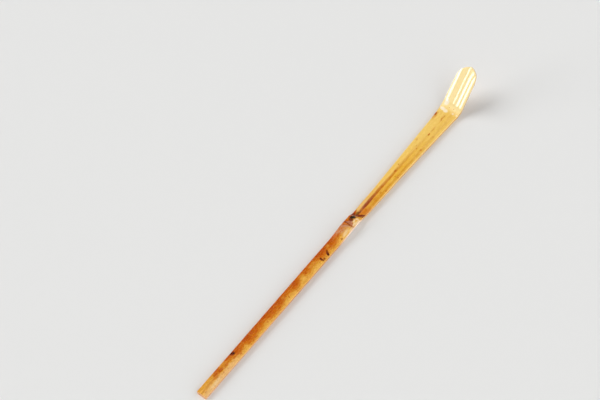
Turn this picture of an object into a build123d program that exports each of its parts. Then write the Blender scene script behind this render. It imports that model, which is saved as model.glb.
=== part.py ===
from build123d import *
import math
import os

# A tea scoop carved from one strip of bamboo and bent at one end by steam.
# All lengths are in millimetres, and distances run along the upper face from the cut end of the handle.
# While the strip is built, X runs from the cut end to the bowl, +Y is to the left and Z is up.

# Lengths along the strip
handle_length = 165.0
node_distance = 96.5
bend_radius = 6.6
bend_angle = 51.8
bowl_length = 17.5
tip_length = 7.0

# Widths
end_width = 4.5
node_width = 4.85
heel_width = 8.5
bowl_width = 9.45
shoulder_width = 9.0

# Thicknesses at the middle of the strip
end_thickness = 1.99
node_thickness = 1.94
heel_thickness = 1.84
bowl_thickness = 1.45
tip_thickness = 1.1

# Swell of the bamboo's node, above the line of the strip and below it
node_reach = 10.0
node_rise = 1.2
node_arch = 0.6
node_swell = 0.2

# Forms of the faces
handle_crown = 0.2
bowl_hollow = 0.3
handle_arch = 0.34
rest_depth = 0.15
side_undercut = 0.08

# Groove that the side branch left in the bamboo above its node
groove_radius = 1.9
groove_depth = 0.4
groove_offset = 0.25
groove_end_gap = 7.0

# Ring that the sheath left round the node, and the scar of the bud above it
ring_radius = 0.5
ring_depth = 0.22
ring_gap = 1.0
scar_length = 2.2
scar_width = 3.6
scar_depth = 0.2

# Shares of the sizes above
side_wall_share = 0.8
underside_flat_share = 0.78
flare_power = 1.45

# How many sections carry each stretch of the strip
grip_steps = 6
node_steps = 14
flare_steps = 9
bend_steps = 10

# How far a cutter runs past what it cuts
overrun = 2.0


def blend(start, end, share):
    """The value at a share of the way from start to end."""
    return start + (end - start) * share


def by_node(distance, at_end, at_node, at_heel):
    """A size of the handle that changes evenly from the cut end to the node and from there to the heel."""
    if distance <= node_distance:
        return blend(at_end, at_node, distance / node_distance)
    return blend(at_node, at_heel, flare_share(distance))


def flare_share(distance):
    """How far a place lies from the node to the heel, from 0 to 1."""
    return (distance - node_distance) / (handle_length - node_distance)


def handle_width(distance):
    """The handle's width, which opens ever faster from the node to the heel."""
    if distance <= node_distance:
        return blend(end_width, node_width, distance / node_distance)
    return blend(node_width, heel_width, flare_share(distance) ** flare_power)


def underside_height(distance):
    """The low arch of the handle's underside, which rests at the cut end and at the heel."""
    return handle_arch * math.sin(math.pi * distance / handle_length) - rest_depth


def strip_plane(x, z, angle):
    """A section plane of the strip: its x is to the left, its y is up off the upper face."""
    tangent = (math.cos(angle), 0, math.sin(angle))
    return Plane(origin=(x, 0, z), x_dir=(0, 1, 0), z_dir=tangent)


def section(plane, width, thickness, crown):
    """The strip's outline: a crowned or hollow upper face, low side walls and a knife-cut underside."""
    half = width / 2
    wall = thickness * side_wall_share
    foot = half - side_undercut
    flat = half * underside_flat_share
    upper = Bezier((half, 0), (0, 2 * crown), (-half, 0))
    lower = Polyline((-half, 0), (-foot, -wall), (-flat, -thickness), (flat, -thickness), (foot, -wall), (half, 0))
    return plane * make_face([upper, lower])


def node_share(distance):
    """How much of the node's swell a place has: all of it at the crest and none past the node's reach."""
    place = (distance - node_distance) / node_reach
    if abs(place) >= 1:
        return 0.0
    return math.cos(math.pi * place / 2) ** 2


def handle_section(distance):
    """A section of the handle, with its share of the node's swell."""
    swell = node_share(distance)
    bottom = underside_height(distance) + node_arch * swell
    thickness = by_node(distance, end_thickness, node_thickness, heel_thickness)
    thickness += (node_rise - node_arch) * swell
    width = handle_width(distance) + node_swell * swell
    return section(strip_plane(distance, bottom + thickness, 0), width, thickness, handle_crown)


def stations(start, end, steps):
    """Even distances from start up to but not including end."""
    return [blend(start, end, step / steps) for step in range(steps)]


def handle_sections():
    """The handle's sections from the cut end up to the heel, close together over the node."""
    node_start = node_distance - node_reach
    node_end = node_distance + node_reach
    distances = stations(0, node_start, grip_steps)
    distances += stations(node_start, node_end, node_steps)
    distances += stations(node_end, handle_length, flare_steps)
    return [handle_section(distance) for distance in distances]


def heel_height():
    """The height of the upper face where the bend starts."""
    return heel_thickness - rest_depth


def bend_sections():
    """The sections round the bend, from the heel to the foot of the bowl."""
    sections = []
    for step in range(bend_steps + 1):
        share = step / bend_steps
        angle = math.radians(bend_angle) * share
        x = handle_length + bend_radius * math.sin(angle)
        z = heel_height() + bend_radius * (1 - math.cos(angle))
        width = blend(heel_width, bowl_width, math.sin(share * math.pi / 2))
        thickness = blend(heel_thickness, bowl_thickness, share)
        crown = blend(handle_crown, -bowl_hollow, share)
        sections.append(section(strip_plane(x, z, angle), width, thickness, crown))
    return sections


def bowl_plane(distance=0.0):
    """The section plane that lies this far up the bowl from its foot."""
    angle = math.radians(bend_angle)
    x = handle_length + bend_radius * math.sin(angle) + distance * math.cos(angle)
    z = heel_height() + bend_radius * (1 - math.cos(angle)) + distance * math.sin(angle)
    return strip_plane(x, z, angle)


def bowl_section():
    """The bowl's far section, which lies past the tip for its outline to be cut from the bowl."""
    width = blend(bowl_width, shoulder_width, (bowl_length + overrun) / (bowl_length - tip_length))
    thickness = blend(bowl_thickness, tip_thickness, (bowl_length + overrun) / bowl_length)
    return section(bowl_plane(bowl_length + overrun), width, thickness, -bowl_hollow)


def face_plane(distance):
    """The plane of the bowl's upper face: x runs up the bowl and y runs to the left."""
    section_plane = bowl_plane(distance)
    return Plane(origin=section_plane.origin, x_dir=section_plane.z_dir, z_dir=section_plane.y_dir)


def tip_waste():
    """What the knife takes off round the pointed tip, whose two sides are arcs that start along the bowl's edges."""
    half = shoulder_width / 2
    radius = (tip_length ** 2 + half ** 2) / (2 * half)
    plane = face_plane(bowl_length - tip_length)
    inside = Circle(radius).locate(Location((0, half - radius))) & Circle(radius).locate(Location((0, radius - half)))
    reach = tip_length + overrun
    block = Pos(reach / 2, 0) * Rectangle(reach, bowl_width + 2 * overrun)
    depth = bowl_thickness + bowl_hollow
    return extrude(plane * (block - inside), amount=depth + overrun, both=True)


def upper_height(distance):
    """The height of the upper face's edge, away from the node's swell."""
    return underside_height(distance) + by_node(distance, end_thickness, node_thickness, heel_thickness)


def branch_groove():
    """A round-bottomed channel that starts where the node's swell ends and runs out a gap before the heel."""
    start_distance = node_distance + node_reach
    end_distance = handle_length - groove_end_gap
    deep = upper_height(start_distance) + handle_crown - groove_depth + groove_radius
    out = upper_height(end_distance) + handle_crown + groove_radius
    start = Vector(start_distance, groove_offset, deep)
    end = Vector(end_distance, groove_offset, out)
    along = Plane(origin=start, z_dir=end - start)
    channel = extrude(along * Circle(groove_radius), amount=(end - start).length)
    return channel + Pos(*start) * Sphere(groove_radius)


def node_top():
    """The height of the crest of the node."""
    return upper_height(node_distance) + node_rise + handle_crown


def sheath_ring():
    """A shallow ring across the strip, just below the crest of the node."""
    centre = Pos(node_distance - ring_gap, 0, node_top() - ring_depth + ring_radius)
    return centre * Rot(90, 0, 0) * Cylinder(ring_radius, node_width + 2 * overrun)


def bud_scar():
    """A shallow three-sided scar above the ring, which points to the bowl."""
    half = scar_width / 2
    outline = Polyline((0, half), (scar_length, 0), (0, -half), (0, half))
    place = Pos(node_distance, 0, node_top() - scar_depth)
    return extrude(place * make_face(outline), amount=overrun)


def below_rest():
    """Everything below the surface that the scoop lies on, which leaves a small flat at the cut end and at the heel."""
    length = handle_length + bend_radius + overrun
    block = Box(length, heel_width + 2 * overrun, overrun)
    return Pos(length / 2 - overrun / 2, 0, -overrun / 2) * block


def bamboo_scoop():
    """The whole strip, from the cut end to the tip of the bowl."""
    strip = loft(handle_sections() + bend_sections() + [bowl_section()], ruled=True)
    return strip - tip_waste() - branch_groove() - sheath_ring() - bud_scar() - below_rest()


def centred(shape):
    """The shape with the middle of its length at the origin, resting on the plane below it."""
    box = shape.bounding_box()
    return Pos(-(box.min.X + box.max.X) / 2, 0, 0) * shape


os.makedirs("parts", exist_ok=True)
scoop = centred(bamboo_scoop())
export_step(scoop, "parts/bamboo_scoop.step")
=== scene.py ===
import math

import bpy
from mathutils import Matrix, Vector, noise


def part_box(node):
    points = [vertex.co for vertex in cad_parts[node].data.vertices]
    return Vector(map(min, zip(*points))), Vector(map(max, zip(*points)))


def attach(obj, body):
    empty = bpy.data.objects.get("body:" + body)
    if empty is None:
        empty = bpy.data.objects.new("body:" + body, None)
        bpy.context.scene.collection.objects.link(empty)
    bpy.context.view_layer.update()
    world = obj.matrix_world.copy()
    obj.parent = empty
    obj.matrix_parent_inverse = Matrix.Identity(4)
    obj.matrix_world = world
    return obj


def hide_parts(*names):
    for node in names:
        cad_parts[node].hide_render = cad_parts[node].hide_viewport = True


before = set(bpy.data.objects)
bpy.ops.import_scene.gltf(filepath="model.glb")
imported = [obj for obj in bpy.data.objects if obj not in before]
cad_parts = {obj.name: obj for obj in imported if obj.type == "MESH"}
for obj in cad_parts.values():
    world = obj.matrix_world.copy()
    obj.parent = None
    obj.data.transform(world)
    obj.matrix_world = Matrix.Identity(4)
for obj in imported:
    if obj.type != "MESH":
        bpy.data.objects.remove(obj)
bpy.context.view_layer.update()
node_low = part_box("bamboo_scoop")[0]

# Sizes are in millimetres, and distances run along the strip's upper face from the cut end of the handle.
# Across the strip, values above 0 lie to the left, seen from the cut end.
MM = 0.001
START_X = node_low.x / MM

# The strip, as the solid has it but for a slightly wider cut end and a rounded apex
HANDLE_LENGTH = 165.0
NODE_DISTANCE = 96.5
BEND_RADIUS = 6.6
BEND_ANGLE = math.radians(51.8)
BOWL_LENGTH = 17.5
TIP_RADIUS = 7.7
APEX_RADIUS = 1.2
END_WIDTH, NODE_WIDTH, HEEL_WIDTH, BOWL_WIDTH, SHOULDER_WIDTH = 4.65, 4.85, 8.5, 9.45, 9.0
END_THICKNESS, NODE_THICKNESS, HEEL_THICKNESS, BOWL_THICKNESS, TIP_THICKNESS = 1.99, 1.94, 1.84, 1.45, 1.1
FLARE_POWER = 1.45
HANDLE_CROWN, HANDLE_ARCH, REST_DEPTH = 0.2, 0.34, 0.15
NODE_ARCH, NODE_ARCH_REACH = 0.6, 10.0
BEND_LENGTH = BEND_RADIUS * BEND_ANGLE
BOWL_START = HANDLE_LENGTH + BEND_LENGTH
STRIP_LENGTH = BOWL_START + BOWL_LENGTH

# The node's swell, and the waist above it
SWELL_START, SWELL_CREST, SWELL_FALL, SWELL_END = 85.5, 94.8, 99.2, 102.5
SWELL_RISE, SWELL_WIDTH = 1.15, 0.2
WAIST_PINCH, WAIST_AT = 0.25, (102, 4)

# The ridge of the sheath, the scar of the bud and the second ridge
SHEATH_DISTANCE, SHEATH_SLANT, SHEATH_CURVE = 96.05, 0.42, 0.11
SCAR_START, SCAR_SLANT, SCAR_LENGTH, SCAR_MIDDLE, SCAR_HALF = 96.45, 0.1, 1.9, 0.15, 2.05
RIDGE_DISTANCE, RIDGE_SLANT = 102.45, 0.7

# Relief of the node: the height of each lip or crease, how far past its line it lies, and its reach
SHEATH_LIP, SHEATH_CREASE = (0.16, -0.5, 0.35), (-0.14, 0.1, 0.25)
RIDGE_LIP, RIDGE_CREASE = (0.12, -1.1, 0.7), (-0.1, 0.05, 0.3)
SCAR_DEPTH, SCAR_EDGE = 0.12, 0.25
NODE_ROUGHNESS_AT = (97.5, 5)

# The branch groove: its mouth, its run to where it ends, its two sides, and how its bottom strays
GROOVE_DEPTH, GROOVE_MOUTH, GROOVE_START, GROOVE_LENGTH = 0.42, (102.4, 104.4), 104, 61
GROOVE_LEFT, GROOVE_RIGHT, GROOVE_SLOPE = 1.7, 0.95, (1.0, -0.1)
GROOVE_OFFSET, GROOVE_BEND, GROOVE_BEND_AT, GROOVE_RETURN = 0.25, 0.15, (116, 6), (120, 150)

# How far the hand-carved strip strays to one side, and where it does so most or starts to
END_SWAY, END_SWAY_SPAN = 0.08, (25, 5)
WAIST_SWAY, WAIST_SWAY_AT = 0.13, (116, 9)
TIP_SWAY, TIP_SWAY_SPAN = 0.35, (187.5, 189.0)
HEEL_FULLER, HEEL_FULLER_AT = 0.03, (165.5, 2.5)
TIP_FULLER, TIP_FULLER_AT = 0.3, (188.0, 2.5)

# How far the tip's apex lies beyond where the solid has it
TIP_BEYOND = 0.25

# The edges of the strip, and the knife cuts along its sides and underside
EDGE_RADIUS, SIDE_UNDERCUT, SIDE_SHARE = 0.16, 0.08, 0.8
BEVEL_SHARE, TIP_BEVEL, BEVEL_ROUNDING = 0.22, 0.5, 0.06
FACET_SIZE, FACET_LENGTH, FACETS_APART, FACET_DEPTHS = 0.05, 9.0, 3.0, (0.1, 0.5)

# Uneven heights: each one's size, its lengths along and across, and which layer of the noise it takes
WAVE, FINE_WAVE, NODE_ROUGHNESS = (0.03, 14.0, 2.5, 0), (0.012, 3.1, 1.1, 5), (0.04, 1.1, 0.8, 3)
CUT, FINE_CUT = (0.05, 11.0, 1.3, 9), (0.02, 3.0, 1.0, 2)

# How much of the waves the bowl keeps, how far before the bend its form starts, and to what share of the
# thickness the upper face's relief reaches down the sides
BOWL_WAVE_SHARE, BOWL_FORM_LEAD, RELIEF_REACH = 0.05, 1.0, 0.6

# The bowl's flutes: how steeply its face rises to the left at each place across it
FLUTES = (
    (-4.8, 0.0), (-3.95, 0.0), (-3.75, -0.1), (-2.95, -0.1), (-2.8, 0.02), (-2.4, 0.02),
    (-2.25, -0.1), (-1.3, -0.1), (-1.1, 0.01), (-0.3, 0.01), (-0.15, -0.09), (0.4, -0.09),
    (0.6, 0.06), (2.85, 0.08), (3.05, -0.1), (4.0, -0.1), (4.2, 0.0), (4.8, -0.1),
)
BOWL_HOLLOW = 0.16
FLUTE_STEPS = 100

# The mesh: rows along the handle, each span with its ends and count, rows further on, and steps round it
HANDLE_ROWS = ((0.15, 84.0, 150), (84.0, 108.0, 150), (108.0, HANDLE_LENGTH, 110))
BEND_ROWS, BOWL_ROWS, TIP_ROWS, APEX_ROWS = 26, 34, 30, 12
EDGE_STEPS, WALL_STEPS, BEVEL_STEPS, UPPER_STEPS, LOWER_STEPS = 4, 5, 6, 61, 6

# How far to each side the outline's slope is measured, and to how many digits two points are the same
SLOPE_STEP, SAME_DIGITS = 0.05, 5

# The cut end's rings: each one's share of the handle's outline, and how far it lies before the first row
END_RINGS = ((0.0, 0.15), (0.3, 0.15), (0.6, 0.15), (0.85, 0.15), (0.97, 0.135), (0.992, 0.06))

# How many bands of the strip lie beside each other in the bake's picture, the margin round each and the
# room at its end, and the length of the shortest ring that has a way round it
BANDS, BAND_MARGIN, BAND_ROOM, SHORTEST_RING = 3, 0.008, 1.5, 0.05


def blend(start, end, share):
    """The value at a share of the way from start to end."""
    return start + (end - start) * share


def smooth(value, low, high):
    """0 on low's side, 1 on high's side and an even slope between them."""
    share = min(max((value - low) / (high - low), 0.0), 1.0)
    return share * share * (3 - 2 * share)


def bump(value, centre, reach):
    """A round bump of height 1 about the centre."""
    return math.exp(-(((value - centre) / reach) ** 2))


def grain(x, y, z):
    """Smooth noise from -1 to 1, the same at each run."""
    return noise.noise(Vector((x, y, z)))


def uneven(distance, across, form):
    """What hand carving adds to a height here, never more than the form's size."""
    size, length, width, layer = form
    return size * grain(distance / length, across / width, layer)


def by_node(distance, at_end, at_node, at_heel, power=1.0):
    """A size that changes evenly to the node, and from there to the heel by a power of the way."""
    if distance <= NODE_DISTANCE:
        return blend(at_end, at_node, distance / NODE_DISTANCE)
    share = min((distance - NODE_DISTANCE) / (HANDLE_LENGTH - NODE_DISTANCE), 1.0)
    return blend(at_node, at_heel, share**power)


def swell(distance):
    """The node's swell, from 0 to 1: slow on the handle's side and quick on the bowl's side."""
    return smooth(distance, SWELL_START, SWELL_CREST) * smooth(distance, SWELL_END, SWELL_FALL)


def half_width(distance):
    """Half the strip's width, apart from the rounding of the tip."""
    if distance <= HANDLE_LENGTH:
        width = by_node(distance, END_WIDTH, NODE_WIDTH, HEEL_WIDTH, FLARE_POWER)
        width += SWELL_WIDTH * swell(distance) - WAIST_PINCH * bump(distance, *WAIST_AT)
        return width / 2
    if distance <= BOWL_START:
        share = (distance - HANDLE_LENGTH) / BEND_LENGTH
        return blend(HEEL_WIDTH, BOWL_WIDTH, math.sin(share * math.pi / 2)) / 2
    return blend(BOWL_WIDTH, SHOULDER_WIDTH, (distance - BOWL_START) / BOWL_LENGTH) / 2


def low_arch(distance):
    """The low arch of the handle, which rests at the cut end and at the heel."""
    return HANDLE_ARCH * math.sin(math.pi * distance / HANDLE_LENGTH) - REST_DEPTH


def underside(distance):
    """The height of the handle's underside, hollowed under the node."""
    place = min(abs(distance - NODE_DISTANCE) / NODE_ARCH_REACH, 1.0)
    return low_arch(distance) + NODE_ARCH * math.cos(math.pi * place / 2) ** 2


def edge_height(distance):
    """The height of the handle's upper edges."""
    level = by_node(distance, END_THICKNESS, NODE_THICKNESS, HEEL_THICKNESS)
    return low_arch(distance) + level + SWELL_RISE * swell(distance)


def thickness(distance):
    """The strip's thickness at its edges."""
    if distance <= HANDLE_LENGTH:
        return edge_height(distance) - underside(distance)
    if distance <= BOWL_START:
        return blend(HEEL_THICKNESS, BOWL_THICKNESS, (distance - HANDLE_LENGTH) / BEND_LENGTH)
    return blend(BOWL_THICKNESS, TIP_THICKNESS, (distance - BOWL_START) / BOWL_LENGTH)


def sway(distance, across):
    """How far to the left a place lies of where an even strip would have it, as it was carved by hand."""
    if across > 0:
        moved = HEEL_FULLER * across * bump(distance, *HEEL_FULLER_AT)
    else:
        moved = TIP_FULLER * across * bump(distance, *TIP_FULLER_AT)
    moved -= TIP_SWAY * smooth(distance, *TIP_SWAY_SPAN)
    return moved + END_SWAY * smooth(distance, *END_SWAY_SPAN) - WAIST_SWAY * bump(distance, *WAIST_SWAY_AT)


def place(distance, across, above):
    """The point this far along the bent strip, to the left and above its upper edges, in metres."""
    turn = min(max((distance - HANDLE_LENGTH) / BEND_RADIUS, 0.0), BEND_ANGLE)
    beyond = max(distance - BOWL_START, 0.0)
    x = min(distance, HANDLE_LENGTH) + BEND_RADIUS * math.sin(turn) + beyond * math.cos(turn)
    z = edge_height(min(distance, HANDLE_LENGTH))
    z += BEND_RADIUS * (1 - math.cos(turn)) + beyond * math.sin(turn)
    x -= above * math.sin(turn)
    z += above * math.cos(turn)
    return Vector((START_X + x, across + sway(distance, across), max(z, 0.0))) * MM


def groove_line(distance):
    """How far to the left the bottom of the branch groove lies."""
    strayed = GROOVE_BEND * bump(distance, *GROOVE_BEND_AT)
    return GROOVE_OFFSET + strayed - GROOVE_OFFSET * smooth(distance, *GROOVE_RETURN)


def groove(distance, across):
    """The branch groove: a long slope on its left, a short one on its right, shallower towards the heel."""
    left = max(1 - (distance - GROOVE_START) / GROOVE_LENGTH, 0.0)
    depth = GROOVE_DEPTH * smooth(distance, *GROOVE_MOUTH) * left
    beside = across - groove_line(distance)
    reach = GROOVE_LEFT if beside > 0 else GROOVE_RIGHT
    return -depth * smooth(abs(beside) / reach, *GROOVE_SLOPE)


def sheath(distance, across):
    """How far past the ridge of the sheath a place lies."""
    return distance - SHEATH_DISTANCE + SHEATH_SLANT * across + SHEATH_CURVE * across**2


def triangle(distance, across):
    """How far inside the bud's scar a place lies, and below 0 outside it."""
    along = distance - SCAR_START + SCAR_SLANT * across
    side = SCAR_LENGTH * (1 - abs(across - SCAR_MIDDLE) / SCAR_HALF) - along
    return min(along, side)


def ridge(distance, across):
    """How far past the second ridge a place lies."""
    return distance - RIDGE_DISTANCE + RIDGE_SLANT * across


def raised(past, form):
    """What a lip or crease adds to the height, this far past its line."""
    height, centre, reach = form
    return height * bump(past, centre, reach)


def node_relief(distance, across):
    """The ridge of the sheath, the crease above it, the scar of the bud and the second ridge."""
    past = sheath(distance, across)
    second = ridge(distance, across)
    relief = raised(past, SHEATH_LIP) + raised(past, SHEATH_CREASE)
    relief -= SCAR_DEPTH * smooth(triangle(distance, across), 0.0, SCAR_EDGE)
    relief += raised(second, RIDGE_LIP) + raised(second, RIDGE_CREASE)
    return relief + uneven(distance, across, NODE_ROUGHNESS) * bump(distance, *NODE_ROUGHNESS_AT)


def flute_heights():
    """The bowl's face across its middle, in even steps from its right edge, so many to the millimetre."""
    heights = [0.0]
    for (start, first), (end, last) in zip(FLUTES, FLUTES[1:]):
        count = round((end - start) * FLUTE_STEPS)
        for step in range(count):
            heights.append(heights[-1] + blend(first, last, (step + 0.5) / count) / FLUTE_STEPS)
    middle = heights[round(-FLUTES[0][0] * FLUTE_STEPS)]
    return [height - middle for height in heights]


FLUTE_HEIGHTS = flute_heights()


def bowl_form(across):
    """The bowl's upper face: a shallow trough that the knife has fluted lengthwise."""
    at = min(max((across - FLUTES[0][0]) * FLUTE_STEPS, 0.0), len(FLUTE_HEIGHTS) - 2.0)
    below = int(at)
    return blend(FLUTE_HEIGHTS[below], FLUTE_HEIGHTS[below + 1], at - below) - BOWL_HOLLOW


def upper_relief(distance, across, half):
    """The height of the upper face over the strip's upper edges."""
    crown = HANDLE_CROWN * (1 - min(abs(across) / half, 1.0) ** 2)
    flat = crown + groove(distance, across) + node_relief(distance, across)
    hollow = smooth(distance, HANDLE_LENGTH - BOWL_FORM_LEAD, BOWL_START)
    wave = uneven(distance, across, WAVE) + uneven(distance, across, FINE_WAVE)
    return blend(flat + wave, bowl_form(across) + wave * BOWL_WAVE_SHARE, hollow)


def straight_rows():
    """The rows up to the tip, each as its distance, its half width and the outline's outward direction."""
    tip_start = tip_centre() - tip_reach()
    spans = HANDLE_ROWS + ((HANDLE_LENGTH, BOWL_START, BEND_ROWS), (BOWL_START, tip_start, BOWL_ROWS))
    rows = []
    for start, end, count in spans:
        for step in range(count):
            distance = blend(start, end, step / count)
            slope = half_width(distance + SLOPE_STEP) - half_width(distance - SLOPE_STEP)
            slope /= 2 * SLOPE_STEP
            length = math.hypot(1.0, slope)
            rows.append((distance, half_width(distance), -slope / length, 1.0 / length))
    return rows


def tip_reach():
    """How far the centre of the apex lies beyond the centres of the tip's two sides."""
    return math.sqrt((TIP_RADIUS - APEX_RADIUS) ** 2 - (TIP_RADIUS - SHOULDER_WIDTH / 2) ** 2)


def tip_centre():
    """The distance of the centre of the apex."""
    return STRIP_LENGTH - APEX_RADIUS + TIP_BEYOND


def tip_rows():
    """The rows round the tip: an arc along each side and a small one at the apex."""
    tip_start = tip_centre() - tip_reach()
    half = half_width(tip_start)
    meeting = math.asin(tip_reach() / (TIP_RADIUS - APEX_RADIUS))
    rows = []
    for step in range(TIP_ROWS):
        angle = meeting * step / TIP_ROWS
        side = half - TIP_RADIUS * (1 - math.cos(angle))
        rows.append((tip_start + TIP_RADIUS * math.sin(angle), side, math.sin(angle), math.cos(angle)))
    for step in range(APEX_ROWS + 1):
        angle = blend(meeting, math.pi / 2, step / APEX_ROWS)
        side = max(APEX_RADIUS * math.cos(angle), 0.0)
        distance = tip_centre() + APEX_RADIUS * math.sin(angle)
        rows.append((distance, side, math.sin(angle), math.cos(angle)))
    return rows


def side_profile(deep, bevel):
    """Inset and depth of one side's points, from the upper face's edge to the flat of the underside."""
    wall = deep * SIDE_SHARE
    points = []
    for step in range(EDGE_STEPS + 1):
        angle = math.pi / 2 * step / EDGE_STEPS
        points.append((EDGE_RADIUS * (1 - math.sin(angle)), EDGE_RADIUS * (1 - math.cos(angle))))
    for step in range(1, WALL_STEPS):
        share = step / WALL_STEPS
        points.append((SIDE_UNDERCUT * share, blend(EDGE_RADIUS, wall, share)))
    for step in range(BEVEL_STEPS):
        share = step / BEVEL_STEPS
        round_off = BEVEL_ROUNDING * math.sin(math.pi * share)
        points.append((blend(SIDE_UNDERCUT, bevel, share) - round_off, blend(wall, deep, share)))
    return points


def inward(row, inset):
    """The place this far inside the outline's left side: its distance and how far across it lies."""
    distance, half, out_x, out_y = row
    return distance - inset * out_x, max(half - inset * out_y, 0.0)


def side_points(row, bevel, sign):
    """The points of the left or the right side, from the upper face's edge down."""
    distance, half = row[:2]
    deep = thickness(distance)
    points = []
    for inset, depth in side_profile(deep, bevel):
        along, across = inward(row, inset)
        across *= sign
        height = upper_relief(along, across, half_width(distance))
        lower = smooth(depth, 0.0, RELIEF_REACH * deep)
        facet = FACET_SIZE * grain(along / FACET_LENGTH, sign * FACETS_APART, depth)
        facet *= smooth(depth, *FACET_DEPTHS) * min(half, 1.0)
        points.append((along, across + sign * facet, height * (1 - lower) - depth))
    return points


def upper_points(row):
    """The points of the upper face, from its left edge to its right one."""
    along, edge = inward(row, EDGE_RADIUS)
    half = half_width(row[0])
    places = [(1 - 2 * step / UPPER_STEPS) * edge for step in range(1, UPPER_STEPS)]
    return [(along, across, upper_relief(along, across, half)) for across in places]


def lower_points(row, bevel):
    """The points of the underside's flat, from its right edge to its left one."""
    along, edge = inward(row, bevel)
    deep = thickness(row[0])
    points = []
    for step in range(-LOWER_STEPS, LOWER_STEPS + 1):
        across = step / LOWER_STEPS * edge
        cut = uneven(along, across, CUT) + uneven(along, across, FINE_CUT)
        points.append((along, across, cut - deep))
    return points


def ring(row):
    """One closed ring of points round the strip from the underside's middle: distance, across and above."""
    distance = row[0]
    tapered = smooth(distance, BOWL_START, tip_centre())
    bevel = blend(BEVEL_SHARE * half_width(distance), TIP_BEVEL, tapered)
    left, right = side_points(row, bevel, 1), side_points(row, bevel, -1)
    lower = lower_points(row, bevel)
    return lower[LOWER_STEPS:] + left[::-1] + upper_points(row) + right + lower[:LOWER_STEPS]


def end_rings(first):
    """The rings of the cut end, from its middle out to the first row's ring, with a small rounded edge."""
    rings = []
    middle = (HANDLE_CROWN - END_THICKNESS) / 2
    for share, setback in END_RINGS:
        rings.append([(along - setback, across * share, middle + (above - middle) * share)
                      for along, across, above in first])
    return rings


def scoop_rings():
    """All rings of the strip, from the middle of the cut end to the apex."""
    rings = [ring(row) for row in straight_rows() + tip_rows()]
    return end_rings(rings[0]) + rings


def shared_points(rings):
    """The rings' points with no point twice, and each ring's numbers in that list."""
    points, numbers, known = [], [], {}
    for loop in rings:
        row = []
        for point in loop:
            key = tuple(round(value, SAME_DIGITS) for value in point)
            if key not in known:
                known[key] = len(points)
                points.append(point)
            row.append(known[key])
        numbers.append(row)
    return points, numbers


def running_shares(steps):
    """How far round a ring each of its points lies, from 0 to 1, or nothing for a ring that is a point."""
    total = sum(steps)
    if total <= SHORTEST_RING:
        return None
    return [sum(steps[:at]) / total for at in range(len(steps) + 1)]


def picture_places(rings):
    """Where each point lies in the bake's picture: how far along all rings, and how far round its own."""
    lengths, shares = [0.0], []
    for loop in rings:
        closed = [Vector(point) for point in loop] + [Vector(loop[0])]
        steps = [(after - before).length for before, after in zip(closed, closed[1:])]
        shares.append(running_shares(steps))
    for near, far in zip(rings, rings[1:]):
        lengths.append(lengths[-1] + max((Vector(a) - Vector(b)).length for a, b in zip(near, far)))
    shares[0] = shares[1]
    shares[-1] = shares[-1] or shares[-2]
    return lengths, shares


def scoop_faces(numbers, lengths, shares):
    """The faces between neighbouring rings, and where their corners lie in the bake's picture."""
    faces, places = [], []
    size = len(numbers[0])
    band_length = lengths[-1] / BANDS
    for row in range(len(numbers) - 1):
        band = min(int(lengths[row] / band_length), BANDS - 1)
        for at in range(size):
            corners = ((row, at), (row + 1, at), (row + 1, at + 1), (row, at + 1))
            face, spots = [], []
            for in_row, column in corners:
                number = numbers[in_row][column % size]
                if number in face:
                    continue
                face.append(number)
                along = (lengths[in_row] - band * band_length) / (band_length + BAND_ROOM)
                u = blend(BAND_MARGIN, 1 - BAND_MARGIN, along)
                v = (band + blend(BAND_MARGIN * 2, 1 - BAND_MARGIN * 2, shares[in_row][column])) / BANDS
                spots.append((u, v))
            if len(face) > 2:
                faces.append(face)
                places += spots
    return faces, places


def scoop_mesh(name):
    """The strip's mesh. Its attributes tell the material where each point lies on the strip."""
    rings = scoop_rings()
    points, numbers = shared_points(rings)
    faces, places = scoop_faces(numbers, *picture_places(rings))
    mesh = bpy.data.meshes.new(name)
    mesh.from_pydata([place(*point) for point in points], [], faces)
    picture = mesh.uv_layers.new(name="OFBake")
    for item, spot in zip(picture.data, places):
        item.uv = spot
    for attribute in ("strip", "forms", "lines"):
        mesh.attributes.new(attribute, "FLOAT_VECTOR", "POINT")
    strip, forms, lines = (mesh.attributes[attribute] for attribute in ("strip", "forms", "lines"))
    for number, (along, across, above) in enumerate(points):
        half = half_width(min(along, STRIP_LENGTH))
        depth = max(upper_relief(along, across, half) - above, 0.0)
        strip.data[number].vector = (along, across, depth)
        forms.data[number].vector = (sheath(along, across), triangle(along, across), ridge(along, across))
        lines.data[number].vector = (across - groove_line(along), half - abs(across), 0.0)
    mesh.shade_smooth()
    mesh.update()
    return mesh


def scoop():
    """The visible scoop, which stands for the solid of the frame."""
    piece = bpy.data.objects.new("scoop_strip", scoop_mesh("scoop_strip"))
    bpy.context.scene.collection.objects.link(piece)
    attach(piece, "root")
    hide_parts("bamboo_scoop")
    return piece


def linear(red, green, blue):
    """A colour given as 0 to 255 on a screen, as Blender's linear light."""
    def channel(value):
        """One of the three values."""
        value /= 255
        return value / 12.92 if value <= 0.04045 else ((value + 0.055) / 1.055) ** 2.4
    return channel(red), channel(green), channel(blue), 1.0


# A spot's colour is full inside the first share of its size and gone outside the second one
SPOT_CORE, SPOT_RIM = 0.7, 1.45

# A size so large that what is divided by it has no effect
WITHOUT_EFFECT = 1e6


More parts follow.
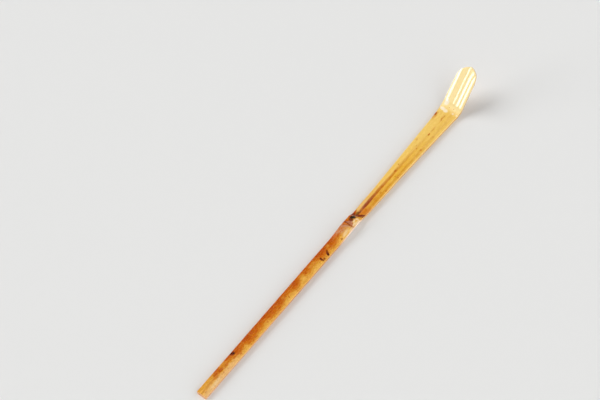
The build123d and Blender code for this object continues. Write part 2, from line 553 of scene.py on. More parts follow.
class Shader:
    """The nodes of one material, added by calls that read like a formula."""

    def __init__(self, name):
        self.material = bpy.data.materials.new(name)
        self.material.use_nodes = True
        self.nodes = self.material.node_tree.nodes
        self.links = self.material.node_tree.links
        self.surface = self.nodes["Principled BSDF"]

    def set(self, socket, value):
        """Give a socket a value or link another socket to it."""
        if isinstance(value, bpy.types.NodeSocket):
            self.links.new(value, socket)
        else:
            socket.default_value = value

    def math(self, operation, *values):
        """A sum of one kind on up to three values."""
        node = self.nodes.new("ShaderNodeMath")
        node.operation = operation
        for socket, value in zip(node.inputs, values):
            self.set(socket, value)
        return node.outputs[0]

    def plus(self, *values):
        """The values added up."""
        total = values[0]
        for value in values[1:]:
            total = self.math("ADD", total, value)
        return total

    def times(self, *values):
        """The values multiplied."""
        total = values[0]
        for value in values[1:]:
            total = self.math("MULTIPLY", total, value)
        return total

    def step(self, value, low, high):
        """0 on low's side, 1 on high's side and an even slope between them."""
        node = self.nodes.new("ShaderNodeMapRange")
        node.interpolation_type = "SMOOTHSTEP"
        if low > high:
            low, high = high, low
            node.inputs["To Min"].default_value = 1.0
            node.inputs["To Max"].default_value = 0.0
        self.set(node.inputs["Value"], value)
        self.set(node.inputs["From Min"], low)
        self.set(node.inputs["From Max"], high)
        return node.outputs[0]

    def between(self, value, low, high, soft):
        """1 from low to high, and 0 a soft way outside them."""
        return self.times(self.step(value, low - soft, low), self.step(value, high + soft, high))

    def line(self, value, half, soft):
        """1 within half of 0, and 0 a soft way outside it."""
        return self.step(self.math("ABSOLUTE", value), half + soft, half)

    def mix(self, share, first, second):
        """A share of the second colour over the first one."""
        node = self.nodes.new("ShaderNodeMix")
        node.data_type = "RGBA"
        self.set(node.inputs[0], share)
        self.set(node.inputs[6], first)
        self.set(node.inputs[7], second)
        return node.outputs[2]

    def ramp(self, value, low, high, stops):
        """Colours by a value: each stop is a value from low to high and its colour."""
        node = self.nodes.new("ShaderNodeValToRGB")
        share = self.math("DIVIDE", self.math("SUBTRACT", value, low), high - low)
        self.set(node.inputs[0], share)
        elements = node.color_ramp.elements
        for element, (at, colour) in zip(elements, (stops[0], stops[-1])):
            element.position = (at - low) / (high - low)
            element.color = colour
        for at, colour in stops[1:-1]:
            elements.new((at - low) / (high - low)).color = colour
        return node.outputs[0]

    def curve(self, value, bottom, top, points):
        """A line drawn through given points, each a value and a height between bottom and top."""
        low, high = points[0][0], points[-1][0]
        node = self.nodes.new("ShaderNodeFloatCurve")
        drawn = node.mapping.curves[0].points
        drawn[0].location = (0.0, (points[0][1] - bottom) / (top - bottom))
        drawn[1].location = (1.0, (points[-1][1] - bottom) / (top - bottom))
        for at, height in points[1:-1]:
            drawn.new((at - low) / (high - low), (height - bottom) / (top - bottom))
        node.mapping.update()
        share = self.math("DIVIDE", self.math("SUBTRACT", value, low), high - low)
        self.set(node.inputs["Value"], share)
        return self.math("MULTIPLY_ADD", node.outputs[0], top - bottom, bottom)

    def vector(self, operation, first, second):
        """A sum of one kind on two vectors."""
        node = self.nodes.new("ShaderNodeVectorMath")
        node.operation = operation
        self.set(node.inputs[0], first)
        self.set(node.inputs[1], second)
        return node.outputs[0]

    def noise(self, vector, scale, detail=2.0, roughness=0.5):
        """Smooth noise from 0 to 1, with a scale for each direction."""
        node = self.nodes.new("ShaderNodeTexNoise")
        self.set(node.inputs["Vector"], self.vector("MULTIPLY", vector, scale))
        node.inputs["Scale"].default_value = 1.0
        node.inputs["Detail"].default_value = detail
        node.inputs["Roughness"].default_value = roughness
        return node.outputs[0]

    def swing(self, vector, scale, size, detail=2.0, roughness=0.5):
        """Noise about 0, with most of it within this size."""
        found = self.noise(vector, scale, detail, roughness)
        return self.math("MULTIPLY_ADD", found, size * 4.0, size * -2.0)

    def cells(self, vector, scale):
        """The distance to the nearest of many scattered points."""
        node = self.nodes.new("ShaderNodeTexVoronoi")
        self.set(node.inputs["Vector"], self.vector("MULTIPLY", vector, scale))
        node.inputs["Scale"].default_value = 1.0
        return node.outputs["Distance"]

    def attribute(self, name):
        """What the mesh says of this name at each point."""
        node = self.nodes.new("ShaderNodeAttribute")
        node.attribute_name = name
        return node.outputs["Vector"]

    def apart(self, vector):
        """The three values of a vector."""
        node = self.nodes.new("ShaderNodeSeparateXYZ")
        self.set(node.inputs[0], vector)
        return node.outputs

    def moved(self, vector, scale, size):
        """The places moved about by up to this size, so that marks get uneven outlines."""
        node = self.nodes.new("ShaderNodeTexNoise")
        self.set(node.inputs["Vector"], vector)
        node.inputs["Scale"].default_value = scale
        node.inputs["Detail"].default_value = 2.0
        swung = self.vector("SUBTRACT", node.outputs["Color"], (0.5, 0.5, 0.5))
        return self.vector("ADD", vector, self.vector("MULTIPLY", swung, (size * 4, size * 4, 0.0)))

    def spots(self, vector, marks):
        """Many oval spots, one over another. Each mark is a share, a place, half sizes and perhaps a turn.

        The share found so far rides in the third value, where it has no effect, so that each spot waits for
        the one before it and the renderer holds few values at a time.
        """
        along, across = self.apart(vector)[:2]
        found = 0.0
        for share, at_along, at_across, length, width, *turn in marks:
            joined = self.nodes.new("ShaderNodeCombineXYZ")
            for socket, value in zip(joined.inputs, (along, across, found)):
                self.set(socket, value)
            node = self.nodes.new("ShaderNodeMapping")
            node.vector_type = "TEXTURE"
            self.set(node.inputs["Vector"], joined.outputs[0])
            node.inputs["Location"].default_value = (at_along, at_across, 0.0)
            node.inputs["Rotation"].default_value = (0.0, 0.0, math.radians(sum(turn)))
            node.inputs["Scale"].default_value = (length, width, WITHOUT_EFFECT)
            size = self.nodes.new("ShaderNodeVectorMath")
            size.operation = "LENGTH"
            self.set(size.inputs[0], node.outputs[0])
            found = self.fade(size.outputs["Value"], share, found)
        return found

    def fade(self, size, inside, outside):
        """A value inside a spot's outline that fades to another one outside it."""
        node = self.nodes.new("ShaderNodeMapRange")
        node.interpolation_type = "SMOOTHSTEP"
        self.set(node.inputs["Value"], size)
        self.set(node.inputs["From Min"], SPOT_CORE)
        self.set(node.inputs["From Max"], SPOT_RIM)
        self.set(node.inputs["To Min"], inside)
        self.set(node.inputs["To Max"], outside)
        return node.outputs[0]


# Colours of the skin below the node, from its pale right side to its dark left side. The first is the
# skin's paler tone with a painted sheen over it, for the right side near the cut end
PEACH_AND_SHEEN, PALE = linear(237, 186, 120), linear(240, 186, 84)
GOLD, HONEY = linear(226, 160, 56), linear(214, 136, 38)
ORANGE, DEEP, RUST = linear(206, 112, 16), linear(204, 104, 6), linear(184, 74, 0)

# Colours of the skin above the node and in the bowl
STRAW, SUN, AMBER = linear(246, 202, 100), linear(236, 182, 62), linear(216, 146, 28)
OCHRE, BROWN = linear(206, 126, 24), linear(158, 66, 4)
CREAM, BUTTER, TRAY = linear(248, 226, 168), linear(243, 208, 116), linear(249, 222, 146)

# Colours of the node and of the marks. The second is a painted sheen, and the last is a painted reflection
# for bright patches at the heel and the bend
BLOOM, SHEEN_TONE, SCAR = linear(200, 144, 106), linear(247, 214, 160), linear(182, 114, 84)
LINE, FIRE, EMBER, CRIMSON = linear(216, 120, 4), linear(178, 74, 2), linear(140, 50, 6), linear(96, 12, 0)
DARK_AMBER, MOSS, SOOT = linear(198, 108, 6), linear(62, 58, 34), linear(24, 14, 10)
PAINTED_REFLECTION = linear(253, 242, 218)

# Colours of the flesh that the knife has bared
FLESH, BLUSH = linear(228, 174, 126), linear(222, 155, 92)
IVORY, WHEAT = linear(253, 228, 206), linear(234, 180, 92)
BUNDLE = linear(150, 84, 34)

# Where the skin below the node turns from gold on the right to orange on the left: distance and across
TURNS = (
    (0, 2.7), (6, 2.5), (9, 1.2), (12, 0.7), (14, 1.1), (17, 0.9), (19, 0.6), (21, 0.3), (23, -0.3),
    (25, -0.4), (27, 0.2), (28.5, -0.7), (31, -1.3), (33, -1.1), (35, -0.5), (38, -0.5), (40, -0.1),
    (42, -0.4), (44, -0.9), (49, -0.9), (51, -0.7), (53.5, 0.3), (57, 0.2), (59, -0.3), (60.5, -1.0),
    (62, -0.5), (64, 0.6), (65.5, 1.3), (67, 0.3), (69, 0.0), (72, 0.5), (75, 0.3), (79, -0.9),
    (82, -0.3), (85, -0.8), (88, -0.2), (92, 0.6), (96, 0.6),
)

# How brown the groove is by distance
GROOVE_STAIN = (
    (102, 0.6), (106, 0.7), (108, 1.0), (112, 0.85), (120, 0.5), (132, 0.3), (150, 0.14), (158, 0.08),
    (162, 0.14), (165, 0.0),
)

# The flesh's colour by distance
FLESH_STOPS = (
    (0, FLESH), (24, FLESH), (45, BLUSH), (86, BLUSH), (93, IVORY), (100, IVORY), (104, WHEAT),
    (189, WHEAT),
)

# Marks: share, distance, place across, half length, half width and for some a turn in degrees
RUST_MARKS = (
    (0.75, 12.9, 0.6, 1.2, 0.6), (0.4, 8.0, 0.1, 0.6, 0.3), (0.55, 9.2, -0.2, 1.0, 0.4),
    (0.6, 10.0, 0.9, 1.1, 0.8), (0.6, 16.0, 0.3, 1.2, 0.4), (0.5, 12.9, -1.0, 0.3, 0.25),
    (0.45, 15.3, -1.2, 0.4, 0.2), (0.5, 1.0, 0.1, 2.0, 0.3), (0.4, 4.6, 0.3, 1.5, 0.25),
    (0.35, 2.0, -0.8, 0.5, 0.3), (0.4, 14.6, 0.1, 0.8, 0.3), (0.6, 11.5, 2.0, 1.2, 0.4),
    (0.6, 18.5, 2.1, 1.6, 0.6), (0.9, 21.3, 1.6, 1.2, 0.7, -30.0), (0.4, 20.5, -0.2, 0.9, 0.35),
    (0.4, 23.5, -1.2, 0.5, 0.3), (0.4, 23.8, 0.2, 1.5, 0.9), (0.45, 32.8, -1.0, 0.6, 0.4),
    (0.6, 34.8, 0.2, 0.8, 0.4), (0.95, 41.7, 1.8, 1.3, 0.6), (0.7, 43.1, 0.1, 0.6, 0.3),
    (0.5, 44.4, 1.9, 0.8, 0.4), (0.5, 41.0, -1.0, 0.35, 0.35), (0.4, 45.4, 0.0, 0.5, 0.3),
    (0.6, 49.1, -0.8, 0.5, 0.25, -20.0), (0.45, 51.5, 0.4, 1.6, 1.0),
    (0.75, 54.3, 0.4, 0.6, 0.28, -10.0), (0.65, 55.1, -0.9, 0.45, 0.3, 70.0),
    (0.6, 61.5, 1.6, 1.0, 0.6), (0.35, 62.5, 0.6, 1.5, 0.7), (0.6, 68.0, 0.6, 0.5, 0.4),
    (0.5, 66.9, -1.0, 0.5, 0.25, 30.0), (0.75, 77.0, 1.8, 0.8, 0.5), (0.6, 81.0, 1.4, 1.5, 0.45),
    (0.65, 78.8, 0.7, 0.45, 0.45), (0.5, 84.2, 0.1, 0.9, 0.3), (0.35, 86.0, 0.9, 1.2, 0.5),
    (0.6, 89.3, -1.7, 0.38, 0.3), (0.55, 89.8, 0.5, 0.7, 0.5), (0.95, 102.3, 1.9, 1.7, 0.7),
    (0.4, 6.0, 0.2, 5.0, 0.5),
)
GOLD_MARKS = (
    (0.85, 4.0, 1.8, 6.0, 0.9), (0.7, 8.5, 1.6, 1.2, 0.6), (0.7, 15.3, 2.0, 1.6, 0.5),
    (0.5, 14.2, 1.2, 0.7, 0.5), (0.5, 65.6, 0.9, 1.2, 0.5), (0.7, 65.0, -1.7, 1.8, 0.6),
    (0.6, 67.8, -1.8, 1.6, 0.5), (0.6, 71.5, 0.9, 1.0, 0.4), (0.6, 73.4, 1.0, 0.8, 0.4),
    (0.5, 83.2, 1.0, 0.9, 0.5), (0.8, 54.7, -0.1, 0.4, 0.25), (0.4, 53.5, 0.9, 0.8, 0.3),
    (0.5, 41.2, -0.4, 1.5, 0.4), (0.4, 14.2, 1.3, 0.6, 0.3), (0.4, 16.6, 1.0, 0.8, 0.3),
    (0.5, 98.3, 2.1, 0.5, 0.3), (0.5, 50.0, 2.1, 0.5, 0.2), (0.4, 59.5, 1.9, 0.8, 0.25),
    (0.5, 46.5, -1.9, 1.0, 0.3),
)
EMBER_MARKS = (
    (0.8, 76.85, -0.5, 0.75, 0.45, 75.0), (0.65, 76.95, -1.3, 0.65, 0.36, 110.0),
    (0.65, 77.9, -1.5, 0.5, 0.35, 55.0), (0.85, 80.5, -1.15, 0.95, 0.52, 65.0),
    (0.75, 81.15, -0.3, 0.75, 0.45, 55.0), (0.8, 21.4, 1.6, 1.25, 0.8, -30.0),
    (0.5, 89.3, -1.7, 0.45, 0.35), (0.6, 102.5, -0.4, 2.2, 0.5, -56.0),
)
CRIMSON_MARKS = (
    (0.9, 76.85, -0.5, 0.55, 0.32, 75.0), (0.85, 76.95, -1.3, 0.48, 0.26, 110.0),
    (0.65, 77.9, -1.5, 0.38, 0.26, 55.0), (1.0, 80.5, -1.2, 0.82, 0.45, 65.0),
    (0.6, 81.1, -0.35, 0.55, 0.32, 55.0), (0.8, 21.4, 1.7, 0.8, 0.5, -35.0),
    (0.85, 98.6, 0.6, 0.7, 0.9, 20.0), (0.6, 96.3, 0.9, 0.2, 1.6, -5.0),
    (0.75, 101.4, 1.8, 1.0, 0.5, -10.0), (0.6, 104.0, 0.3, 1.2, 0.35),
)
SOOT_MARKS = (
    (1.0, 21.0, 2.2, 0.45, 0.32), (1.0, 21.75, 1.25, 0.45, 0.36, 30.0),
    (0.6, 80.4, -1.35, 0.4, 0.2, 65.0), (0.5, 76.9, -0.5, 0.35, 0.18, 75.0),
    (1.0, 99.75, 1.05, 0.7, 0.55, -40.0), (0.95, 100.25, 0.5, 0.7, 0.5, -50.0),
    (0.6, 101.0, 0.9, 0.5, 0.35, -45.0),
)
MOSS_MARKS = ((0.9, 99.9, 0.7, 1.2, 0.7, -40.0), (0.6, 103.2, 0.8, 0.9, 0.45))
AMBER_MARKS = (
    (0.5, 113.5, 0.6, 0.5, 0.3), (0.5, 117.0, 0.3, 0.5, 0.25), (0.5, 119.8, 0.5, 0.8, 0.45),
    (0.45, 116.8, -0.9, 0.7, 0.4), (0.35, 113.0, -1.0, 1.0, 0.5), (0.7, 119.0, -2.2, 0.5, 0.38),
    (0.4, 125.5, 0.1, 1.0, 0.25), (0.45, 126.9, -1.1, 0.3, 0.3), (0.6, 127.2, -2.1, 0.45, 0.4),
    (0.4, 128.7, -1.8, 0.4, 0.25), (0.75, 129.2, 0.5, 0.7, 0.4), (0.6, 132.6, 1.3, 0.35, 0.25, 30.0),
    (0.45, 131.7, -2.2, 0.4, 0.2), (0.65, 143.5, 0.0, 0.35, 0.25), (0.5, 144.6, 0.8, 0.3, 0.15),
    (0.6, 143.9, -2.0, 0.5, 0.5, 40.0), (0.95, 152.3, -0.1, 0.65, 0.3), (0.4, 152.5, -2.3, 0.7, 0.3),
    (0.35, 147.2, 2.5, 0.5, 0.4), (0.5, 161.8, 3.6, 2.0, 0.6), (0.4, 155.5, 0.0, 1.5, 0.25),
    (0.6, 162.3, 0.05, 1.8, 0.28), (0.8, 168.3, 0.7, 0.25, 0.2), (0.8, 168.6, -1.3, 0.2, 0.2),
)
FIRE_MARKS = ((0.95, 162.6, 3.75, 0.9, 0.33), (0.5, 152.2, -0.1, 0.4, 0.16), (0.4, 129.2, 0.5, 0.4, 0.2))
# Painted sheen: pale glossy patches on the right of the handle and about the node, and one left of the
# groove, painted as a paler tone
SHEEN_MARKS = (
    (0.7, 92.3, -1.35, 1.9, 0.6, 8.0), (0.95, 98.8, -0.75, 0.8, 0.4, 10.0),
    (0.95, 97.6, -1.75, 1.0, 0.4, 10.0), (0.95, 100.4, -1.15, 0.7, 0.45, -40.0),
    (0.9, 99.4, -2.3, 1.6, 0.5), (0.6, 94.9, -2.2, 1.3, 0.4), (0.25, 108.0, 1.7, 3.6, 0.5),
    (0.45, 7.2, -1.35, 3.0, 0.55),
)
# Painted reflections: bright patches on the inner side of the bend and at the start of the bowl's left
# streak, painted as a paler tone
REFLECTION_MARKS = (
    (0.85, 166.5, 2.8, 0.7, 1.1), (0.75, 166.2, 1.3, 0.75, 0.9), (0.9, 169.8, 2.9, 1.3, 0.9),
    (0.6, 166.7, -2.1, 0.35, 0.4), (0.6, 166.9, -3.9, 0.35, 0.35),
)


# The grain of each noise: its waves in a millimetre along the strip, across it and down into it
FIBRE_GRAIN, FINE_GRAIN, FLESH_GRAIN = (0.16, 6.0, 6.0), (1.2, 5.0, 5.0), (0.06, 4.5, 4.5)
CUT_GRAIN, POLISH_GRAIN, BUNDLE_GRAIN = (0.5, 0.5, 0.5), (0.5, 1.2, 1.0), (0.03, 1.9, 1.9)
FLECK_GRAIN, SPECKLE_GRAIN, CHANGE_GRAIN = (0.9, 2.2, 1.0), (1.1, 1.7, 1.0), (0.6, 0.9, 0.5)
MOTTLE_GRAIN, SMALL_MOTTLE_GRAIN, CLOUD_GRAIN = (0.45, 0.8, 0.5), (1.0, 1.6, 1.0), (0.35, 0.8, 1.0)
DRIFT_GRAIN, STREAK_GRAIN, BOWL_GRAIN = (0.12, 0.7, 0.4), (0.09, 1.5, 1.0), (0.05, 2.4, 1.0)
LINE_GRAIN, BLOOM_GRAIN = (1.3, 1.3, 1.0), (0.9, 2.6, 1.0)

# Between which distances the looks change along the strip, and at which depths skin gives way to flesh
PEACH_SHEEN_END, NODE_CHANGE, FLECKS_END = (26.0, 16.0), (99.5, 102.5), (104, 96)
AMBER_END, HONEY_END = (124.0, 102.0), (128.0, 106.0)
BUTTER_START, EDGE_HIGHLIGHT_START = (128.0, 158.0), (104.0, 118.0)
BOWL_PALE, BOWL_POLISH, BOWL_COAT = (165.5, 169.5), (168.4, 170.4), (168.6, 170.2)
SKIN_DEPTHS = (0.2, 0.08)

# The roughness of the skin, and what the bowl's polish and the knife's cuts add to it
SKIN_ROUGHNESS, POLISH, CUT_ROUGHNESS = 0.27, -0.14, 0.25


def bamboo():
    """Aged, polished bamboo: a mottled skin on the upper face, and fibrous flesh where it is cut."""
    sh = Shader("bamboo")
    strip = sh.attribute("strip")
    along, across, depth = sh.apart(strip)
    colour = skin_colour(sh, strip, along, across)
    fibre = sh.noise(strip, FIBRE_GRAIN, 3.0, 0.6)
    colour = sh.mix(sh.times(sh.step(fibre, 0.5, 0.75), 0.16), colour, DEEP)
    skin = sh.step(sh.plus(depth, sh.swing(strip, CUT_GRAIN, 0.03)), *SKIN_DEPTHS)
    flesh, bundles = flesh_colour(sh, strip, along)
    sh.set(sh.surface.inputs["Base Color"], sh.mix(skin, flesh, colour))
    bared = sh.math("SUBTRACT", 1.0, skin)
    bowl = sh.step(along, *BOWL_POLISH)
    uneven, polish = sh.swing(strip, POLISH_GRAIN, 0.05), sh.times(bowl, POLISH)
    rough = sh.plus(SKIN_ROUGHNESS, uneven, polish, sh.times(bared, CUT_ROUGHNESS))
    sh.set(sh.surface.inputs["Roughness"], rough)
    fine = sh.times(sh.noise(strip, FINE_GRAIN, 2.0), sh.math("MULTIPLY_ADD", bowl, -0.1, 0.14))
    fine_relief(sh, sh.plus(sh.times(bared, sh.plus(bundles, fibre)), fine))
    sh.surface.inputs["IOR"].default_value = 1.5
    sh.surface.inputs["Coat Roughness"].default_value = 0.1
    sh.surface.inputs["Coat IOR"].default_value = 1.7
    sh.set(sh.surface.inputs["Coat Weight"], sh.step(along, *BOWL_COAT))
    return sh.material


def skin_colour(sh, strip, along, across):
    """The skin's colour with all that marks it."""
    beside, inset = sh.apart(sh.attribute("lines"))[:2]
    lower = lower_colour(sh, strip, along, across)
    upper = upper_colour(sh, strip, along, beside, inset)
    strayed = sh.plus(along, sh.swing(strip, CHANGE_GRAIN, 1.0))
    colour = sh.mix(sh.step(strayed, *NODE_CHANGE), lower, upper)
    colour = node_colour(sh, strip, colour, across)
    colour = marked(sh, strip, colour)
    flecks = sh.step(sh.noise(strip, FLECK_GRAIN, 3.0, 0.65), 0.42, 0.68)
    return sh.mix(sh.times(flecks, sh.step(along, *FLECKS_END), 0.2), colour, BUNDLE)


def fine_relief(sh, height):
    """Relief too fine for the mesh: the fibre, and the unevenness of the polish."""
    node = sh.nodes.new("ShaderNodeBump")
    node.inputs["Strength"].default_value = 0.35
    node.inputs["Distance"].default_value = 0.06 * MM
    sh.set(node.inputs["Height"], height)
    sh.set(sh.surface.inputs["Normal"], node.outputs[0])


def lower_colour(sh, strip, along, across):
    """The skin below the node: gold on the right, orange-brown on the left, mottled where they meet, and
    near the cut end paler on the right, partly its own tone and partly a painted sheen.
    """
    turn = sh.curve(along, -3.0, 3.0, TURNS)
    mottle = sh.swing(strip, MOTTLE_GRAIN, 0.4, 4.0, 0.65)
    mottle = sh.plus(mottle, sh.swing(strip, SMALL_MOTTLE_GRAIN, 1.3, 4.0, 0.7))
    beyond = sh.plus(across, sh.times(turn, -1.0), mottle)
    stops = ((-2.2, PALE), (-0.9, GOLD), (-0.35, HONEY), (0.2, ORANGE), (0.9, DEEP), (2.4, RUST))
    colour = sh.ramp(beyond, -2.6, 3.2, stops)
    speckle = sh.step(sh.noise(strip, SPECKLE_GRAIN, 3.0, 0.7), 0.5, 0.64)
    colour = sh.mix(sh.times(speckle, 0.42), colour, GOLD)
    # Painted sheen: near the cut end the right side turns pale, partly the skin's own paler tone and partly
    # a painted sheen
    pale = sh.times(sh.step(along, *PEACH_SHEEN_END), sh.step(sh.plus(across, mottle), 0.0, -1.2))
    return sh.mix(sh.times(pale, 0.85), colour, PEACH_AND_SHEEN)


def upper_colour(sh, strip, along, beside, inset):
    """The skin above the node: golden, paler on the left and at the bowl, brown along the groove, and with
    a painted highlight along its edges.
    """
    drift = sh.swing(strip, DRIFT_GRAIN, 0.25, 3.0, 0.6)
    beside = sh.plus(beside, drift)
    stops = ((-3.0, SUN), (-2.1, AMBER), (-1.3, SUN), (-0.4, SUN), (0.9, STRAW), (2.5, STRAW))
    colour = sh.ramp(beside, -3.2, 2.7, stops)
    deep = sh.times(sh.step(along, *AMBER_END), sh.step(beside, 0.7, -0.3), 0.85)
    colour = sh.mix(deep, colour, AMBER)
    colour = sh.mix(sh.times(sh.step(along, *HONEY_END), 0.4), colour, HONEY)
    streaks = sh.step(sh.noise(strip, STREAK_GRAIN, 4.0, 0.6), 0.46, 0.7)
    colour = sh.mix(sh.times(streaks, 0.3), colour, AMBER)
    cloud = sh.step(sh.noise(strip, CLOUD_GRAIN, 3.0, 0.6), 0.42, 0.66)
    colour = sh.mix(sh.times(cloud, 0.25), colour, STRAW)
    colour = sh.mix(sh.times(sh.step(along, *BUTTER_START), 0.55), colour, BUTTER)
    edge = sh.plus(sh.step(beside, 1.35, 0.3), sh.step(beside, -0.75, -0.15), -1.0)
    share = sh.times(edge, sh.curve(along, 0.0, 1.0, GROOVE_STAIN))
    colour = sh.mix(sh.step(share, 0.0, 0.55), colour, OCHRE)
    colour = sh.mix(sh.step(share, 0.4, 1.0), colour, BROWN)
    # Painted highlight: from above the node on, both edges turn paler
    edge_highlight = sh.times(sh.step(inset, 0.55, 0.1), sh.step(along, *EDGE_HIGHLIGHT_START), 0.4)
    colour = sh.mix(edge_highlight, colour, CREAM)
    bowl = sh.mix(sh.noise(strip, BOWL_GRAIN, 3.0), CREAM, TRAY)
    return sh.mix(sh.step(along, *BOWL_PALE), colour, bowl)


# The node's colours: spans past a ridge and how softly they end, and half the lines' widths and softness
BLOOM_SPAN, LIP_SPAN, AFTER_SPAN = (-4.2, -0.5, 1.8), (-1.2, -0.45, 0.3), (0.5, 3.5, 1.5)
DARK_LINE, ORANGE_LINE, SCAR_LINE = (0.08, 0.16), (0.18, 0.16), (0.06, 0.16)
RIDGE_LINE, FIRST_LINE = (0.3, 0.25), (0.15, 0.3)

# How far before its ridge or outside the scar a line lies, and where the scar's colour starts
DARK_LINE_BEFORE, FIRST_LINE_BEFORE, SCAR_LINE_OUTSIDE = 0.42, 0.95, 0.12
SCAR_RIM = (-0.05, 0.15)

# Between which places across the strip these colours come up
BLOOM_SIDE, AFTER_SIDE, FIRST_SIDE = (-1.2, 0.0), (0.4, -0.3), (0.3, -0.3)


def node_colour(sh, strip, colour, across):
    """The bloom below the sheath's ridge, the line along it, the bud's scar and the dark second ridge."""
    uneven = sh.swing(strip, LINE_GRAIN, 0.12, 3.0, 0.6)
    past, inside, second = sh.apart(sh.attribute("forms"))
    past, inside = sh.plus(past, uneven), sh.plus(inside, uneven)
    second = sh.plus(second, sh.times(uneven, 1.5))
    streaks = sh.noise(strip, BLOOM_GRAIN, 3.0, 0.6)
    powdered, right = sh.between(past, *BLOOM_SPAN), sh.step(across, *BLOOM_SIDE)
    bloom = sh.times(powdered, right, sh.step(streaks, 0.62, 0.4))
    colour = sh.mix(sh.times(bloom, 0.85), colour, BLOOM)
    colour = sh.mix(sh.times(sh.between(past, *LIP_SPAN), 0.6), colour, BLOOM)
    colour = sh.mix(sh.times(sh.line(sh.plus(past, DARK_LINE_BEFORE), *DARK_LINE), 0.8), colour, EMBER)
    colour = sh.mix(sh.times(sh.line(past, *ORANGE_LINE), 0.9), colour, LINE)
    colour = sh.mix(sh.times(sh.step(inside, *SCAR_RIM), 0.9), colour, SCAR)
    outline = sh.line(sh.plus(inside, SCAR_LINE_OUTSIDE), *SCAR_LINE)
    colour = sh.mix(sh.times(outline, 0.85), colour, EMBER)
    after = sh.times(sh.between(second, *AFTER_SPAN), sh.step(across, *AFTER_SIDE), 0.7)
    colour = sh.mix(after, colour, ORANGE)
    colour = sh.mix(sh.times(sh.line(second, *RIDGE_LINE), 1.0), colour, CRIMSON)
    parallel = sh.line(sh.plus(second, FIRST_LINE_BEFORE), *FIRST_LINE)
    return sh.mix(sh.times(parallel, sh.step(across, *FIRST_SIDE), 0.9), colour, CRIMSON)


def marked(sh, strip, colour):
    """The marks that this strip has: stains, scorched spots, a painted sheen and painted reflections."""
    wide, close = sh.moved(strip, 0.9, 0.22), sh.moved(strip, 2.4, 0.07)
    layers = (
        (GOLD_MARKS, wide, GOLD), (RUST_MARKS, wide, RUST), (AMBER_MARKS, wide, DARK_AMBER),
        (SHEEN_MARKS, close, SHEEN_TONE), (REFLECTION_MARKS, close, PAINTED_REFLECTION), (EMBER_MARKS, close, EMBER),
        (CRIMSON_MARKS, close, CRIMSON), (MOSS_MARKS, close, MOSS), (FIRE_MARKS, close, FIRE),
        (SOOT_MARKS, close, SOOT),
    )
    for marks, where, tone in layers:
        colour = sh.mix(sh.spots(where, marks), colour, tone)
    return colour


def flesh_colour(sh, strip, along):
    """Pale flesh with brown bundles of fibre: dots on the cut end and lines along the sides."""
    bundles = sh.step(sh.cells(strip, BUNDLE_GRAIN), 0.42, 0.18)
    fine = sh.step(sh.noise(strip, FLESH_GRAIN, 3.0, 0.6), 0.42, 0.66)
    flesh = sh.ramp(along, 0.0, 190.0, FLESH_STOPS)
    flesh = sh.mix(sh.times(fine, 0.35), flesh, HONEY)
    return sh.mix(sh.times(bundles, 0.45), flesh, BUNDLE), bundles


# How far the floor reaches on each side, in metres, and its looks
FLOOR_REACH, FLOOR_COLOUR, FLOOR_ROUGHNESS = 4.0, (0.78, 0.78, 0.77, 1.0), 0.7


def pale_floor():
    """A plain pale table that runs far past the object."""
    mesh = bpy.data.meshes.new("floor")
    corners = [(x * FLOOR_REACH, y * FLOOR_REACH, 0) for x, y in ((-1, -1), (1, -1), (1, 1), (-1, 1))]
    mesh.from_pydata(corners, [], [(0, 1, 2, 3)])
    floor = bpy.data.objects.new("floor", mesh)
    bpy.context.scene.collection.objects.link(floor)
    sh = Shader("pale_table")
    sh.surface.inputs["Base Color"].default_value = FLOOR_COLOUR
    sh.surface.inputs["Roughness"].default_value = FLOOR_ROUGHNESS
    mesh.materials.append(sh.material)


# The camera looks at a point of the table, turned by HEADING from the scoop's length and down by TILT.
HEADING, TILT = math.radians(37.387), math.radians(59.0)
CAMERA_TARGET = Vector((4.02, 24.09, 0.0)) * MM
CAMERA_DISTANCE = 929.0 * MM
LENS, SENSOR = 135.0, 36.0


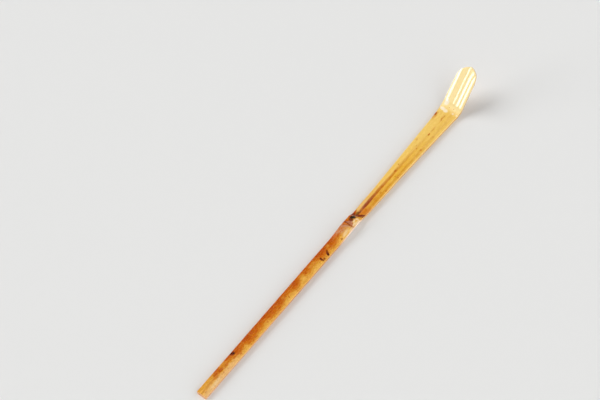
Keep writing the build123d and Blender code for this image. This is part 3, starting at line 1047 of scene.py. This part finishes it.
def camera():
    """The camera at the photograph's viewing angle."""
    data = bpy.data.cameras.new("camera")
    data.lens, data.sensor_width = LENS, SENSOR
    cam = bpy.data.objects.new("camera", data)
    bpy.context.scene.collection.objects.link(cam)
    level = math.cos(TILT)
    look = Vector((math.cos(HEADING) * level, math.sin(HEADING) * level, -math.sin(TILT)))
    cam.location = CAMERA_TARGET - look * CAMERA_DISTANCE
    cam.rotation_euler = look.to_track_quat("-Z", "Y").to_euler()
    bpy.context.scene.camera = cam


def soft_light(name, strength, spread, azimuth, elevation):
    """A far, round soft light. Its azimuth turns from the picture's right towards the far side."""
    data = bpy.data.lights.new(name, "SUN")
    data.energy = strength
    data.angle = math.radians(spread)
    lamp = bpy.data.objects.new(name, data)
    turn = HEADING - math.pi / 2 + math.radians(azimuth)
    rise = math.radians(elevation)
    direction = Vector((math.cos(turn) * math.cos(rise), math.sin(turn) * math.cos(rise), math.sin(rise)))
    lamp.rotation_euler = direction.to_track_quat("Z", "Y").to_euler()
    bpy.context.scene.collection.objects.link(lamp)


# The light that comes from the horizon and from above, and between which heights it fades
HORIZON_LIGHT, CEILING_LIGHT = (0.8, 0.8, 0.8, 1.0), (0.035, 0.035, 0.036, 1.0)
HORIZON_HEIGHT, CEILING_HEIGHT = 0.2, 0.5


def room():
    """A pale sweep round the horizon under a dim ceiling."""
    world = bpy.data.worlds.new("room")
    world.use_nodes = True
    bpy.context.scene.world = world
    nodes, links = world.node_tree.nodes, world.node_tree.links
    where = nodes.new("ShaderNodeTexCoord")
    split = nodes.new("ShaderNodeSeparateXYZ")
    ramp = nodes.new("ShaderNodeValToRGB")
    low, high = ramp.color_ramp.elements
    low.position, low.color = HORIZON_HEIGHT, HORIZON_LIGHT
    high.position, high.color = CEILING_HEIGHT, CEILING_LIGHT
    links.new(where.outputs["Generated"], split.inputs[0])
    links.new(split.outputs["Z"], ramp.inputs[0])
    links.new(ramp.outputs[0], nodes["Background"].inputs["Color"])


piece = scoop()
piece.data.materials.append(bamboo())
pale_floor()
camera()
soft_light("key", strength=1.5, spread=38.0, azimuth=160.0, elevation=46.0)
soft_light("low_left", strength=1.15, spread=30.0, azimuth=192.0, elevation=13.0)
soft_light("fill", strength=2.1, spread=90.0, azimuth=-20.0, elevation=42.0)
room()
bpy.context.scene.view_settings.view_transform = "Standard"
